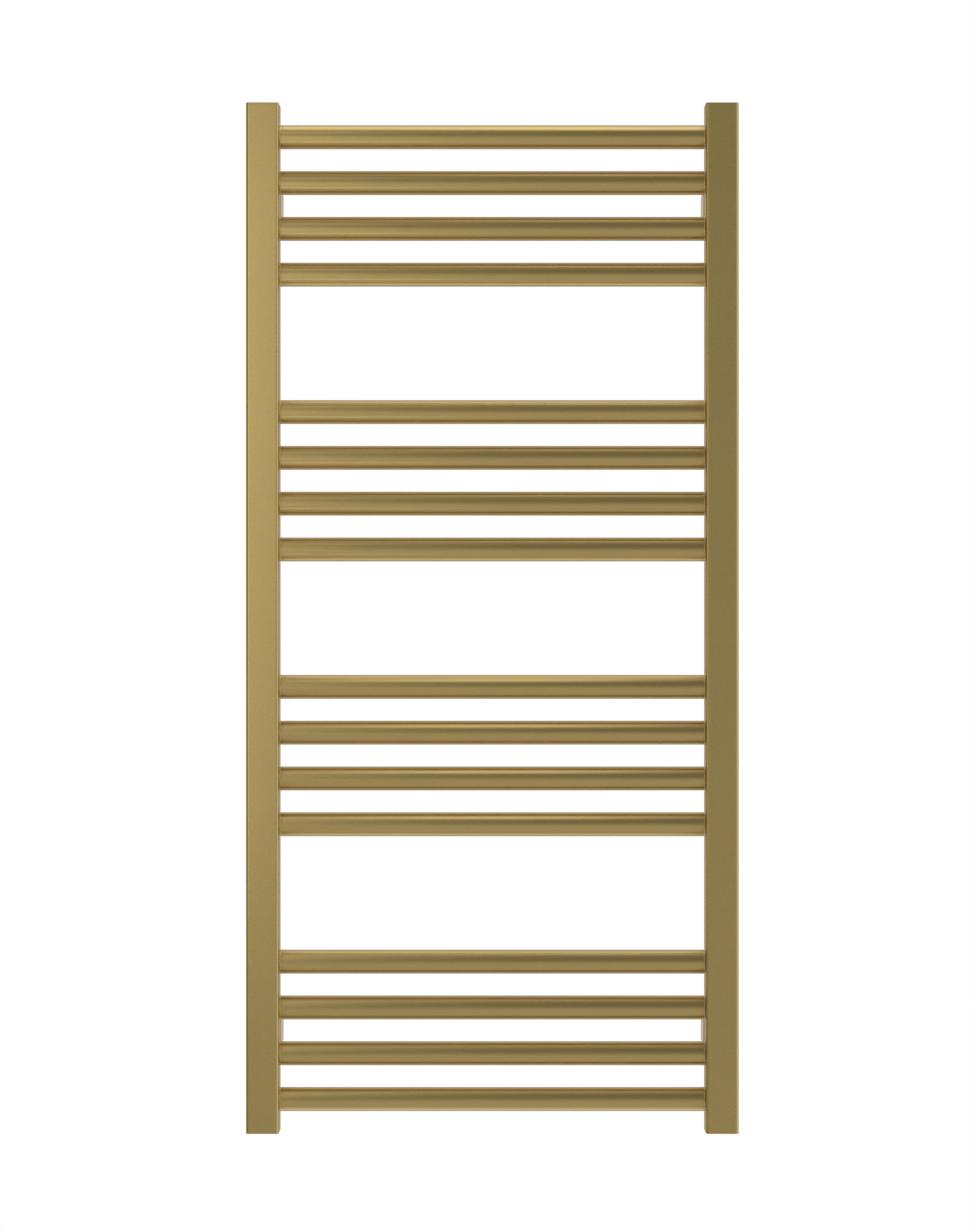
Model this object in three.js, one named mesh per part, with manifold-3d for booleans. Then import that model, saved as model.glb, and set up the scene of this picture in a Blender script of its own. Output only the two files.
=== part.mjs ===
// Ladder towel rail: two rectangular collectors joined by sixteen round bars, held off the wall by
// four telescopic brackets. Millimetres. X runs to the right, Y into the wall and Z up. The origin
// is on the wall, midway between the four brackets.

import * as THREE from 'three';
import { mergeVertices } from 'three/addons/utils/BufferGeometryUtils.js';
import Module from 'manifold-3d';

// ---- Driving dimensions ---------------------------------------------------------------------

const OVERALL_WIDTH = 450;
const WALL_TO_FRONT = 105;

const COLLECTOR_WIDTH = 30;
const COLLECTOR_DEPTH = 40;
const COLLECTOR_WALL = 1.5;
const COLLECTOR_EDGE_RADIUS = 2.5;
const END_CAP_THICKNESS = 3;

const BAR_RADIUS = 11;
const BAR_WALL = 1.2;
const BAR_PITCH = 42;
const BARS_PER_GROUP = 4;
const BAR_GROUPS = 4;
const EMPTY_STEPS_BETWEEN_GROUPS = 2;
const END_BAR_TO_COLLECTOR_END = 30;
const BAR_REACH_INTO_COLLECTOR = 2.5;

const BRACKET_STEPS_FROM_END_BAR = 1.5;
const SLEEVE_HEIGHT = 35;
const SLEEVE_LENGTH = 53;
const SLEEVE_SIDE_WALL = 3;
const SLEEVE_LEVEL_WALL = 4.5;
const SLEEVE_FLOOR = 3;
const SLEEVE_EDGE_RADIUS = 2;
const WALL_SCREW_HOLE_RADIUS = 3.2;
const SPIGOT_LENGTH = 45;
const SPIGOT_WALL = 2;
const SPIGOT_BASE = 3;
const BOSS_RADIUS = 7;
const BOSS_LENGTH = 12;
const SCREW_SHORT_OF_BOSS_END = 1;

const M8_RADIUS = 4;
const M8_HEAD_RADIUS = 7;
const M8_HEAD_HEIGHT = 4.4;
const M8_HEAD_RIM = 1.1;
const M8_CROWN_RADIUS = 3.15;
const M8_SHOULDER_RADIUS = 5.075;
const M8_SHOULDER_HEIGHT = 3.52;
const M8_KEY_ACROSS_FLATS = 5;
const M8_KEY_DEPTH = 2.6;
const M5_RADIUS = 2.5;
const M5_KEY_ACROSS_FLATS = 2.5;
const M5_KEY_DEPTH = 2;
const SET_SCREW_FROM_SLEEVE_MOUTH = 13;

const INLET_MAJOR_RADIUS = 10.5;
const INLET_BORE_RADIUS = 9.3;
const INLET_SOCKET_RADIUS = 12.5;
const INLET_SOCKET_LENGTH = 14;

const PLUG_BELOW_COLLECTOR_TOP = 22;
const PLUG_STEM_RADIUS = 10.2;
const PLUG_STEM_LENGTH = 12;
const PLUG_HEAD_ACROSS_FLATS = 22;
const PLUG_HEAD_HEIGHT = 5;
const PLUG_HEAD_CHAMFER = 1;
const PLUG_KEY_ACROSS_FLATS = 10;
const PLUG_KEY_DEPTH = 4;
const WASHER_RADIUS = 12;
const WASHER_THICKNESS = 1.5;
const SPINDLE_RADIUS = 2.5;
const SPINDLE_SQUARE = 5;
const SPINDLE_STANDS_PROUD = 2.5;
const SPINDLE_COLLAR_RADIUS = 4.4;
const SPINDLE_COLLAR_HEIGHT = 1.2;
const SPINDLE_SLOT_WIDTH = 1;
const SPINDLE_SLOT_DEPTH = 1.4;
const VENT_RECESS_RADIUS = 5;
const VENT_RECESS_DEPTH = 3.5;
const VENT_OUTLET_RADIUS = 0.8;

const CLEARANCE = 0.3;
const CORNER_STEPS = 4;
const BAR_SIDES = 24;
const PLUG_SIDES = 24;
const SCREW_SIDES = 16;

// ---- Worked-out sizes -----------------------------------------------------------------------

const BAR_COUNT = BARS_PER_GROUP * BAR_GROUPS;
const STEPS_PER_GROUP = BARS_PER_GROUP + EMPTY_STEPS_BETWEEN_GROUPS;
const END_BAR_Z = (STEPS_PER_GROUP * BAR_GROUPS - EMPTY_STEPS_BETWEEN_GROUPS - 1) * BAR_PITCH / 2;
const COLLECTOR_END_Z = END_BAR_Z + END_BAR_TO_COLLECTOR_END;
const COLLECTOR_TUBE_END_Z = COLLECTOR_END_Z - END_CAP_THICKNESS;
const COLLECTOR_X = (OVERALL_WIDTH - COLLECTOR_WIDTH) / 2;
const COLLECTOR_Y = COLLECTOR_DEPTH / 2 - WALL_TO_FRONT;
const COLLECTOR_BACK_Y = COLLECTOR_DEPTH - WALL_TO_FRONT;
const COLLECTOR_INNER_FACE_X = COLLECTOR_X - COLLECTOR_WIDTH / 2;
const BAR_LENGTH = 2 * (COLLECTOR_INNER_FACE_X + BAR_REACH_INTO_COLLECTOR);
const BRACKET_Z = END_BAR_Z - BRACKET_STEPS_FROM_END_BAR * BAR_PITCH;
const PLUG_Z = COLLECTOR_END_Z - PLUG_BELOW_COLLECTOR_TOP;
const SLEEVE_BORE_WIDTH = COLLECTOR_WIDTH - 2 * SLEEVE_SIDE_WALL;
const SLEEVE_BORE_HEIGHT = SLEEVE_HEIGHT - 2 * SLEEVE_LEVEL_WALL;
const SPIGOT_WIDTH = SLEEVE_BORE_WIDTH - 2 * CLEARANCE;
const SPIGOT_HEIGHT = SLEEVE_BORE_HEIGHT - 2 * CLEARANCE;
const SET_SCREW_Y = SET_SCREW_FROM_SLEEVE_MOUTH - SLEEVE_LENGTH;
const SET_SCREW_LENGTH = SLEEVE_LEVEL_WALL;
const PLUG_FACE_Y = WASHER_THICKNESS + PLUG_HEAD_HEIGHT;

const SIDES = [{ name: 'left', sign: -1 }, { name: 'right', sign: 1 }];
const LEVELS = [{ name: 'top', sign: 1 }, { name: 'bottom', sign: -1 }];

// ---- Finishes -------------------------------------------------------------------------------

const brushedBrass = { color: 0xa38e5c, metalness: 1, roughness: 0.42 };
const plainBrass = { color: 0xb59a55, metalness: 1, roughness: 0.3 };
const zincSteel = { color: 0x9a9c9e, metalness: 1, roughness: 0.4 };
const blackSteel = { color: 0x35363a, metalness: 0.9, roughness: 0.45 };
const sealRubber = { color: 0x1b1b1c, metalness: 0, roughness: 0.8 };

// ---- Solid modelling helpers ----------------------------------------------------------------

const wasm = await Module();
wasm.setup();

/** The geometry as a solid that can be cut and joined. */
function solidOf(geometry) {
  const bare = geometry.clone();
  bare.deleteAttribute('normal');
  bare.deleteAttribute('uv');
  const welded = mergeVertices(bare);
  const corners = welded.index.array;
  const triangles = [];
  for (let i = 0; i < corners.length; i += 3) {
    const [a, b, c] = corners.slice(i, i + 3);
    if (a !== b && b !== c && c !== a) triangles.push(a, b, c);
  }
  return new wasm.Manifold(new wasm.Mesh({
    numProp: 3,
    vertProperties: welded.attributes.position.array,
    triVerts: Uint32Array.from(triangles),
  }));
}

/** A cut or joined solid as a geometry again. */
function geometryOf(solid) {
  const mesh = solid.getMesh();
  const geometry = new THREE.BufferGeometry();
  geometry.setAttribute('position', new THREE.BufferAttribute(mesh.vertProperties, 3));
  geometry.setIndex(new THREE.BufferAttribute(mesh.triVerts, 1));
  geometry.computeVertexNormals();
  return geometry;
}

/** What is left of a geometry after the others are cut out of it. */
function cut(geometry, cutters) {
  let solid = solidOf(geometry);
  for (const cutter of cutters) solid = solid.subtract(solidOf(cutter));
  return geometryOf(solid);
}

/** A round rod centred on a point, along X, Y or Z. */
function rod(radius, length, axis, [x, y, z], sides = SCREW_SIDES) {
  const geometry = new THREE.CylinderGeometry(radius, radius, length, sides);
  if (axis === 'x') geometry.rotateZ(Math.PI / 2);
  if (axis === 'z') geometry.rotateX(Math.PI / 2);
  return geometry.translate(x, y, z);
}

/** A hexagonal rod along Y that starts at y and is as long as given. */
function hexagon(acrossFlats, y, length) {
  const radius = acrossFlats / Math.sqrt(3);
  return new THREE.CylinderGeometry(radius, radius, length, 6).translate(0, y + length / 2, 0);
}

/** A solid of revolution about Y through [radius, y] points. */
function turned(points, sides) {
  return new THREE.LatheGeometry(points.map(([radius, y]) => new THREE.Vector2(radius, y)), sides);
}

/** A ring about Y, from y = 0 up to the given height. */
function ring(innerRadius, outerRadius, height, sides) {
  return turned([
    [innerRadius, 0], [outerRadius, 0], [outerRadius, height], [innerRadius, height], [innerRadius, 0],
  ], sides);
}

/** The outline of a rounded rectangle centred on the origin, counter-clockwise. */
function roundedRectangle(width, height, radius) {
  const points = [];
  const centres = [[1, 1], [-1, 1], [-1, -1], [1, -1]];
  centres.forEach(([sx, sy], corner) => {
    for (let step = 0; step <= CORNER_STEPS; step += 1) {
      const angle = (corner + step / CORNER_STEPS) * Math.PI / 2;
      points.push(new THREE.Vector2(
        sx * (width / 2 - radius) + radius * Math.cos(angle),
        sy * (height / 2 - radius) + radius * Math.sin(angle),
      ));
    }
  });
  return points;
}

/** A closed solid through equal-sized convex outlines stacked up Z. */
function stacked(layers) {
  const count = layers[0].outline.length;
  const positions = layers.flatMap(({ z, outline }) => outline.flatMap(({ x, y }) => [x, y, z]));
  const faces = [];
  for (let i = 1; i < count - 1; i += 1) {
    const top = (layers.length - 1) * count;
    faces.push(0, i + 1, i, top, top + i, top + i + 1);
  }
  for (let layer = 0; layer < layers.length - 1; layer += 1) {
    for (let i = 0; i < count; i += 1) {
      const a = layer * count + i;
      const b = layer * count + (i + 1) % count;
      faces.push(a, b, b + count, a, b + count, a + count);
    }
  }
  const geometry = new THREE.BufferGeometry();
  geometry.setAttribute('position', new THREE.Float32BufferAttribute(positions, 3));
  geometry.setIndex(faces);
  geometry.computeVertexNormals();
  return geometry;
}

/** A straight rounded-rectangle bar from z = from up to z = to. */
function block(width, height, radius, from, to) {
  const outline = roundedRectangle(width, height, radius);
  return stacked([{ z: from, outline }, { z: to, outline }]);
}

// ---- The pieces' shapes ---------------------------------------------------------------------

/** Heights of the bars' centres, from the top down. */
function barHeights() {
  return Array.from({ length: BAR_COUNT }, (_, index) => {
    const group = Math.floor(index / BARS_PER_GROUP);
    const step = group * STEPS_PER_GROUP + index % BARS_PER_GROUP;
    return END_BAR_Z - step * BAR_PITCH;
  });
}

/** A collector tube about its own centre line, open at both ends, with its holes. */
function collectorShape(side) {
  const bore = block(
    COLLECTOR_WIDTH - 2 * COLLECTOR_WALL,
    COLLECTOR_DEPTH - 2 * COLLECTOR_WALL,
    COLLECTOR_EDGE_RADIUS - COLLECTOR_WALL,
    -COLLECTOR_END_Z,
    COLLECTOR_END_Z,
  );
  const cutterLength = 4 * COLLECTOR_WALL;
  const innerFace = -side.sign * COLLECTOR_WIDTH / 2;
  const backFace = COLLECTOR_DEPTH / 2;
  const barHoles = barHeights().map((z) => (
    rod(BAR_RADIUS + CLEARANCE, cutterLength, 'x', [innerFace, 0, z], BAR_SIDES)));
  const bossHoles = LEVELS.map((level) => (
    rod(BOSS_RADIUS + CLEARANCE, cutterLength, 'y', [0, backFace, level.sign * BRACKET_Z])));
  const plugHole = rod(
    PLUG_STEM_RADIUS + CLEARANCE, cutterLength, 'y', [0, backFace, PLUG_Z], PLUG_SIDES);
  const tube = block(
    COLLECTOR_WIDTH, COLLECTOR_DEPTH, COLLECTOR_EDGE_RADIUS,
    -COLLECTOR_TUBE_END_Z, COLLECTOR_TUBE_END_Z);
  return cut(tube, [bore, ...barHoles, ...bossHoles, plugHole]);
}

/** An end cap whose outer rim is rounded over, lying on z = 0. */
function endCapShape() {
  const straight = END_CAP_THICKNESS - COLLECTOR_EDGE_RADIUS;
  const layers = [{ z: 0, inset: 0 }];
  for (let step = 0; step <= CORNER_STEPS; step += 1) {
    const angle = step / CORNER_STEPS * Math.PI / 2;
    layers.push({
      z: straight + COLLECTOR_EDGE_RADIUS * Math.sin(angle),
      inset: COLLECTOR_EDGE_RADIUS * (1 - Math.cos(angle)),
    });
  }
  const smallestRadius = 0.2;
  return stacked(layers.map(({ z, inset }) => ({
    z,
    outline: roundedRectangle(
      COLLECTOR_WIDTH - 2 * inset,
      COLLECTOR_DEPTH - 2 * inset,
      Math.max(COLLECTOR_EDGE_RADIUS - inset, smallestRadius),
    ),
  })));
}

/** The bottom end cap, with the hole that the inlet thread is reached through. */
function tappedEndCapShape() {
  const hole = rod(INLET_MAJOR_RADIUS, 4 * END_CAP_THICKNESS, 'z', [0, 0, 0], PLUG_SIDES);
  return cut(endCapShape(), [hole]);
}

function barShape() {
  const tube = ring(BAR_RADIUS - BAR_WALL, BAR_RADIUS, BAR_LENGTH, BAR_SIDES);
  return tube.translate(0, -BAR_LENGTH / 2, 0);
}

/** Hexagon head with its outer corners turned away, from the washer up to the face. */
function plugHead() {
  const radius = PLUG_HEAD_ACROSS_FLATS / Math.sqrt(3);
  const turnedDown = turned([
    [0, WASHER_THICKNESS], [radius, WASHER_THICKNESS], [radius, PLUG_FACE_Y - PLUG_HEAD_CHAMFER],
    [radius - 2 * PLUG_HEAD_CHAMFER, PLUG_FACE_Y], [0, PLUG_FACE_Y],
  ], PLUG_SIDES);
  const head = hexagon(PLUG_HEAD_ACROSS_FLATS, WASHER_THICKNESS, PLUG_HEAD_HEIGHT);
  return solidOf(head).intersect(solidOf(turnedDown));
}

/** A screw plug with its stem below y = 0 and its head above the washer. */
function plugShape(cutters) {
  const stemTop = WASHER_THICKNESS + PLUG_HEAD_HEIGHT / 2;
  const stemLength = PLUG_STEM_LENGTH + stemTop;
  const stem = rod(
    PLUG_STEM_RADIUS, stemLength, 'y', [0, stemTop - stemLength / 2, 0], PLUG_SIDES);
  let solid = plugHead().add(solidOf(stem));
  for (const cutter of cutters) solid = solid.subtract(solidOf(cutter));
  return geometryOf(solid);
}

function blankingPlugShape() {
  const key = hexagon(PLUG_KEY_ACROSS_FLATS, PLUG_FACE_Y - PLUG_KEY_DEPTH, 2 * PLUG_KEY_DEPTH);
  return plugShape([key]);
}

/** The vent plug: a bore for the spindle, a recess for its collar and a side outlet for the air. */
function ventPlugShape() {
  const bore = rod(SPINDLE_RADIUS + CLEARANCE, 4 * PLUG_STEM_LENGTH, 'y', [0, 0, 0]);
  const recess = rod(VENT_RECESS_RADIUS, 2 * VENT_RECESS_DEPTH, 'y', [0, PLUG_FACE_Y, 0], PLUG_SIDES);
  const outletY = PLUG_FACE_Y - VENT_RECESS_DEPTH + SPINDLE_COLLAR_HEIGHT + VENT_OUTLET_RADIUS;
  const outlet = rod(VENT_OUTLET_RADIUS, WASHER_RADIUS, 'z', [0, outletY, -WASHER_RADIUS], 8);
  return plugShape([bore, recess, outlet]);
}

/** The vent spindle: round stem, collar that seats in the recess, slotted square for the key. */
function ventSpindleShape() {
  const seat = PLUG_FACE_Y - VENT_RECESS_DEPTH + CLEARANCE;
  const collarTop = seat + SPINDLE_COLLAR_HEIGHT;
  const tip = PLUG_FACE_Y + SPINDLE_STANDS_PROUD;
  const stem = turned([
    [0, -PLUG_STEM_LENGTH], [SPINDLE_RADIUS, -PLUG_STEM_LENGTH], [SPINDLE_RADIUS, seat],
    [SPINDLE_COLLAR_RADIUS, seat], [SPINDLE_COLLAR_RADIUS, collarTop], [0, collarTop],
  ], SCREW_SIDES);
  const squareLength = tip - seat;
  const square = new THREE.BoxGeometry(SPINDLE_SQUARE, squareLength, SPINDLE_SQUARE);
  square.translate(0, seat + squareLength / 2, 0);
  const slot = new THREE.BoxGeometry(2 * SPINDLE_SQUARE, 2 * SPINDLE_SLOT_DEPTH, SPINDLE_SLOT_WIDTH);
  slot.translate(0, tip, 0);
  return geometryOf(solidOf(stem).add(solidOf(square)).subtract(solidOf(slot)));
}

/** The spigot, a rectangular cup about Z whose base is at z = 0 and whose open end is above. */
function spigotShape() {
  const edge = SLEEVE_EDGE_RADIUS / 2;
  const bore = block(
    SPIGOT_WIDTH - 2 * SPIGOT_WALL, SPIGOT_HEIGHT - 2 * SPIGOT_WALL, edge / 2,
    SPIGOT_BASE, 2 * SPIGOT_LENGTH);
  const screwHole = rod(M8_RADIUS + CLEARANCE, 4 * SPIGOT_BASE, 'z', [0, 0, 0]);
  return cut(block(SPIGOT_WIDTH, SPIGOT_HEIGHT, edge, 0, SPIGOT_LENGTH), [bore, screwHole]);
}

/** Button-head screw along Y: shank below y = 0, domed head above, hexagon socket in its top. */
function spigotScrewShape() {
  const shankLength = SPIGOT_BASE + BOSS_LENGTH - SCREW_SHORT_OF_BOSS_END;
  const body = turned([
    [0, -shankLength], [M8_RADIUS, -shankLength], [M8_RADIUS, 0], [M8_HEAD_RADIUS, 0],
    [M8_HEAD_RADIUS, M8_HEAD_RIM], [M8_SHOULDER_RADIUS, M8_SHOULDER_HEIGHT],
    [M8_CROWN_RADIUS, M8_HEAD_HEIGHT], [0, M8_HEAD_HEIGHT],
  ], SCREW_SIDES);
  return cut(body, [hexagon(M8_KEY_ACROSS_FLATS, M8_HEAD_HEIGHT - M8_KEY_DEPTH, 2 * M8_KEY_DEPTH)]);
}

/** The wall sleeve, a rectangular cup about Z with its floor at z = 0. Its lower side is at -Y. */
function wallSleeveShape() {
  const bore = block(
    SLEEVE_BORE_WIDTH, SLEEVE_BORE_HEIGHT, SLEEVE_EDGE_RADIUS / 2, SLEEVE_FLOOR, 2 * SLEEVE_LENGTH);
  const wallScrewHole = rod(WALL_SCREW_HOLE_RADIUS, 4 * SLEEVE_FLOOR, 'z', [0, 0, 0]);
  const lowerWallY = -(SLEEVE_HEIGHT - SLEEVE_LEVEL_WALL) / 2;
  const setScrewHole = rod(
    M5_RADIUS + CLEARANCE, 2 * SLEEVE_LEVEL_WALL, 'y', [0, lowerWallY, -SET_SCREW_Y]);
  const body = block(COLLECTOR_WIDTH, SLEEVE_HEIGHT, SLEEVE_EDGE_RADIUS, 0, SLEEVE_LENGTH);
  return cut(body, [bore, wallScrewHole, setScrewHole]);
}

/** Headless set screw along Y: socket in its lower end at y = 0, blunt cone at its upper end. */
function setScrewShape() {
  const cone = 0.8;
  const body = turned([
    [0, 0], [M5_RADIUS, 0], [M5_RADIUS, SET_SCREW_LENGTH - cone],
    [M5_RADIUS - cone, SET_SCREW_LENGTH], [0, SET_SCREW_LENGTH],
  ], SCREW_SIDES);
  return cut(body, [hexagon(M5_KEY_ACROSS_FLATS, -M5_KEY_DEPTH, 2 * M5_KEY_DEPTH)]);
}

// ---- Assembly -------------------------------------------------------------------------------

const towelRail = new THREE.Group();

/** Puts one piece into a group at a position, turned about X if it needs to be. */
function place(parent, name, geometry, finish, [x, y, z], turnX = 0) {
  const mesh = new THREE.Mesh(geometry, new THREE.MeshStandardMaterial(finish));
  mesh.name = name;
  mesh.position.set(x, y, z);
  mesh.rotation.x = turnX;
  parent.add(mesh);
  return mesh;
}

/** A collector with its end caps and inlet socket, about the collector's own centre line. */
function addCollector(side) {
  const collector = new THREE.Group();
  collector.position.set(side.sign * COLLECTOR_X, COLLECTOR_Y, 0);
  towelRail.add(collector);
  const end = COLLECTOR_TUBE_END_Z;
  place(collector, `collector_${side.name}`, collectorShape(side), brushedBrass, [0, 0, 0]);
  place(collector, `end_cap_top_${side.name}`, endCapShape(), brushedBrass, [0, 0, end]);
  place(
    collector, `end_cap_bottom_${side.name}`, tappedEndCapShape(), brushedBrass, [0, 0, -end],
    Math.PI);
  const socket = ring(INLET_BORE_RADIUS, INLET_SOCKET_RADIUS, INLET_SOCKET_LENGTH, PLUG_SIDES);
  place(
    collector, `inlet_socket_${side.name}`, socket, zincSteel, [0, 0, CLEARANCE - end],
    Math.PI / 2);
}

function addBars() {
  barHeights().forEach((z, index) => {
    const name = `bar_${String(index + 1).padStart(2, '0')}`;
    const bar = place(towelRail, name, barShape(), brushedBrass, [0, COLLECTOR_Y, z]);
    bar.rotation.z = Math.PI / 2;
  });
}

/** The vent behind the right collector and the blanking plug behind the left one. */
function addPlugs() {
  const washerGap = 0.1;
  const washer = () => ring(
    PLUG_STEM_RADIUS + CLEARANCE, WASHER_RADIUS, WASHER_THICKNESS - 2 * washerGap, PLUG_SIDES);
  const right = [COLLECTOR_X, COLLECTOR_BACK_Y, PLUG_Z];
  const left = [-COLLECTOR_X, COLLECTOR_BACK_Y, PLUG_Z];
  const onFace = ([x, y, z]) => [x, y + washerGap, z];
  place(towelRail, 'vent_plug', ventPlugShape(), plainBrass, right);
  place(towelRail, 'vent_spindle', ventSpindleShape(), plainBrass, right);
  place(towelRail, 'vent_washer', washer(), sealRubber, onFace(right));
  place(towelRail, 'blanking_plug', blankingPlugShape(), plainBrass, left);
  place(towelRail, 'blanking_washer', washer(), sealRubber, onFace(left));
}

/** One telescopic bracket: boss, spigot and screw on the rail, sleeve and set screw on the wall. */
function addBracket(side, level) {
  const where = `${level.name}_${side.name}`;
  const bracket = new THREE.Group();
  bracket.position.set(side.sign * COLLECTOR_X, 0, level.sign * BRACKET_Z);
  towelRail.add(bracket);

  const boss = ring(M8_RADIUS + CLEARANCE, BOSS_RADIUS, BOSS_LENGTH, SCREW_SIDES);
  place(bracket, `bracket_boss_${where}`, boss, zincSteel, [0, COLLECTOR_BACK_Y - BOSS_LENGTH, 0]);
  const spigotBaseY = COLLECTOR_BACK_Y + CLEARANCE;
  place(
    bracket, `bracket_spigot_${where}`, spigotShape(), zincSteel, [0, spigotBaseY, 0],
    -Math.PI / 2);
  const screwSeatY = spigotBaseY + SPIGOT_BASE + CLEARANCE;
  place(bracket, `spigot_screw_${where}`, spigotScrewShape(), zincSteel, [0, screwSeatY, 0]);

  place(bracket, `wall_sleeve_${where}`, wallSleeveShape(), brushedBrass, [0, 0, 0], Math.PI / 2);
  place(
    bracket, `set_screw_${where}`, setScrewShape(), blackSteel,
    [0, SET_SCREW_Y, -SLEEVE_HEIGHT / 2], Math.PI / 2);
}

SIDES.forEach(addCollector);
addBars();
addPlugs();
LEVELS.forEach((level) => SIDES.forEach((side) => addBracket(side, level)));

export default towelRail;
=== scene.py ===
"""A ladder towel rail in satin brushed brass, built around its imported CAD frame.

Metres, in the CAD frame: +X right, +Y into the wall, +Z up, origin on the wall plane.
"""
import math

import bmesh
import bpy
import numpy as np
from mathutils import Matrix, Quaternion, Vector


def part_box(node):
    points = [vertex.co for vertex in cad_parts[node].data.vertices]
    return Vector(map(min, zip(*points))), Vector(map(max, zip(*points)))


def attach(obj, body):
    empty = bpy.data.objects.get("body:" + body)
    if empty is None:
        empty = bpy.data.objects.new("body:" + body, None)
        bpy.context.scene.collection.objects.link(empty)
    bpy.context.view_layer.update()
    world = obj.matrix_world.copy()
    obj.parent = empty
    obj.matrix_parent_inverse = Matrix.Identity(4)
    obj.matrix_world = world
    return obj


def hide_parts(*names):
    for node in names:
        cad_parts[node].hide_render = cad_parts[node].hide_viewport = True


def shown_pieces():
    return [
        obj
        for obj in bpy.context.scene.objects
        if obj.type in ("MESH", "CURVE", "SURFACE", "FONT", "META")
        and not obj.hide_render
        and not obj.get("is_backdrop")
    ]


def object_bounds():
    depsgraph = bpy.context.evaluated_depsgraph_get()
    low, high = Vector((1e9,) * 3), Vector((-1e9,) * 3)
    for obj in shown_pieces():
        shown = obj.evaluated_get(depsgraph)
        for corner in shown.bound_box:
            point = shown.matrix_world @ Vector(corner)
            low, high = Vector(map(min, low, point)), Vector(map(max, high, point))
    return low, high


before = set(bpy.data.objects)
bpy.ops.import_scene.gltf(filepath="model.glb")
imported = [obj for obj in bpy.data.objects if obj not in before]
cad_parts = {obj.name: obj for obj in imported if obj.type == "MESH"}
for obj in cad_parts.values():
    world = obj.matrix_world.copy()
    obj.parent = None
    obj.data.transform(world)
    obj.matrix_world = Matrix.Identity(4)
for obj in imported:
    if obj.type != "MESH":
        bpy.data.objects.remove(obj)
cad_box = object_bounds()
MM = 0.001
BAR_COUNT = sum(name.startswith("bar_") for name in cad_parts)
SIDES = ("left", "right")
LEVELS = ("top", "bottom")

# ---- Fine sizes of the visible surfaces -----------------------------------------------------
#
# Round parts and holes are given by radius, hexagons and squares by width across the flats.

EDGE_RADIUS = 2.5 * MM
CAP_EDGE = 0.9 * MM
EDGE_STEPS = 8
FLAT_STEPS = 8
SUPPORT = 0.8 * MM
LARGEST_SUPPORT_SHARE = 0.2
RIM_STEPS = 4
ROUND_STEPS = 96
SMALL_STEPS = 48
OUTLET_STEPS = 24

TUBE_WALL = 1.5 * MM
HOLE_CLEARANCE = 0.1 * MM
BAR_WALL = 1.2 * MM
BRAZE_LEG = 1.3 * MM
BRAZE_SUNK = 0.03 * MM
BRAZE_STEPS = 6

INLET_MAJOR_RADIUS = 10.5 * MM
INLET_BORE_RADIUS = 9.3 * MM
INLET_PITCH = 1.814 * MM
INLET_STEPS_PER_TURN = 12
INLET_RUNOUT_STEPS = 6
INLET_RUNOUT_RISE = 0.5 * MM
INLET_CHAMFER = 0.6 * MM

SLEEVE_EDGE = 2.0 * MM
SLEEVE_RIM = 0.8 * MM
SLEEVE_BACK_EDGE = 0.4 * MM
SLEEVE_SIDE_WALL = 3.0 * MM
SLEEVE_LEVEL_WALL = 4.5 * MM
SLEEVE_FLOOR = 3.0 * MM
WALL_SCREW_HOLE = 3.2 * MM
SPIGOT_EDGE = 1.0 * MM
SPIGOT_RIM = 0.5 * MM
SPIGOT_BACK_EDGE = 0.3 * MM
SPIGOT_WALL = 2.0 * MM
SPIGOT_FLOOR = 3.0 * MM
SCREW_CLEARANCE_HOLE = 4.3 * MM
SET_SCREW_HOLE = 2.8 * MM
SET_SCREW_HOLE_START = -2.0 * MM
SET_SCREW_HOLE_END = 8.0 * MM
CUP_MOUTH_CHAMFER = 0.4 * MM
SMALLEST_CORNER = 0.1 * MM
BOSS_CHAMFER = 0.5 * MM

KEY_CHAMFER_DEPTH = 0.25 * MM
KEY_CHAMFER_WIDTH = 0.5 * MM
SPIGOT_SCREW_SHANK = 4.0 * MM
SPIGOT_SCREW_TIP = 0.7 * MM
SPIGOT_SCREW_HEAD_HEIGHT = 4.4 * MM
SPIGOT_SCREW_RIM_HEIGHT = 0.9 * MM
SPIGOT_SCREW_SEAT_CHAMFER = 0.2 * MM
SPIGOT_SCREW_KEY = 5.0 * MM
SPIGOT_SCREW_KEY_DEPTH = 2.6 * MM
CROWN_ANGLE = math.radians(62)
CROWN_STEPS = 8
SET_SCREW_TIP = 0.8 * MM
SET_SCREW_CHAMFER = 0.3 * MM
SET_SCREW_KEY = 2.5 * MM
SET_SCREW_KEY_DEPTH = 2.0 * MM

PLUG_ACROSS_FLATS = 22.0 * MM
PLUG_HEAD_HEIGHT = 5.0 * MM
PLUG_CHAMFER = 1.0 * MM
PLUG_CHAMFER_STEPS = 8
PLUG_SEAT_RISE = 0.35 * MM
PLUG_SEAT_INSET = 0.6 * MM
PLUG_SIDE_INSET = 0.1 * MM
PLUG_STEM = 10.2 * MM
PLUG_STEM_CHAMFER = 1.0 * MM
PLUG_KEY = 10.0 * MM
PLUG_KEY_MOUTH = 10.6 * MM
PLUG_KEY_CHAMFER = 0.3 * MM
PLUG_KEY_DEPTH = 4.0 * MM
VENT_POCKET = 5.0 * MM
VENT_POCKET_CHAMFER = 0.4 * MM
VENT_POCKET_DEPTH = 3.5 * MM
VENT_BORE = 2.8 * MM
OUTLET_RADIUS = 0.8 * MM
OUTLET_DEPTH = 1.5 * MM
OUTLET_OUTER_END = 16.0 * MM
OUTLET_INNER_END = 4.0 * MM

SPINDLE_POINT = 1.2 * MM
SPINDLE_POINT_LENGTH = 1.3 * MM
SPINDLE_SHANK = 2.5 * MM
SPINDLE_SEAT_DEPTH = 3.2 * MM
SPINDLE_COLLAR = 4.4 * MM
SPINDLE_COLLAR_HEIGHT = 1.2 * MM
SPINDLE_COLLAR_CHAMFER = 0.2 * MM
SPINDLE_SQUARE = 5.0 * MM
SPINDLE_CORNERS = 3.3 * MM
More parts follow.
